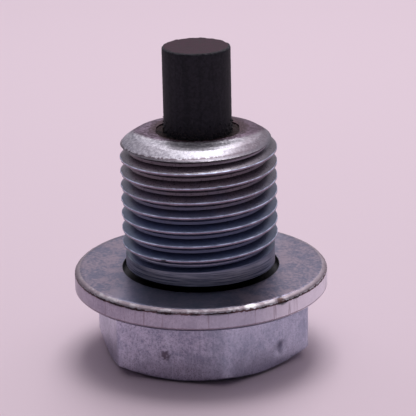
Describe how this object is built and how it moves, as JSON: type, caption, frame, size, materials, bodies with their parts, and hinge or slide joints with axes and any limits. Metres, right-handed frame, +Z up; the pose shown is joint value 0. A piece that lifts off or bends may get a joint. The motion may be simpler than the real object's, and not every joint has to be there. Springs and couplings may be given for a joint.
{
  "type": "oil drain plug",
  "caption": "Magnetic oil drain plug: hexagon head, round flange, fine threaded shank and a rod magnet standing out of the nose.",
  "frame": {"origin": "centre of the hexagon head's flat end face, which is the lowest face", "axes": "+Z up the plug's axis towards the magnet; two of the head's flats face +Y and -Y"},
  "size_m": [0.026, 0.026, 0.0322],
  "materials": {
    "zinc_plated_steel": "blue-white zinc plating, worn, with fine scratches and small nicks",
    "hard_ferrite": "dark grey, ground and matt",
    "glue": "dark brown, rough, with rust tints"
  },
  "bodies": {
    "root": {"plug_body": "zinc_plated_steel", "magnet": "hard_ferrite", "glue_ring": "glue"}
  },
  "joints": []
}
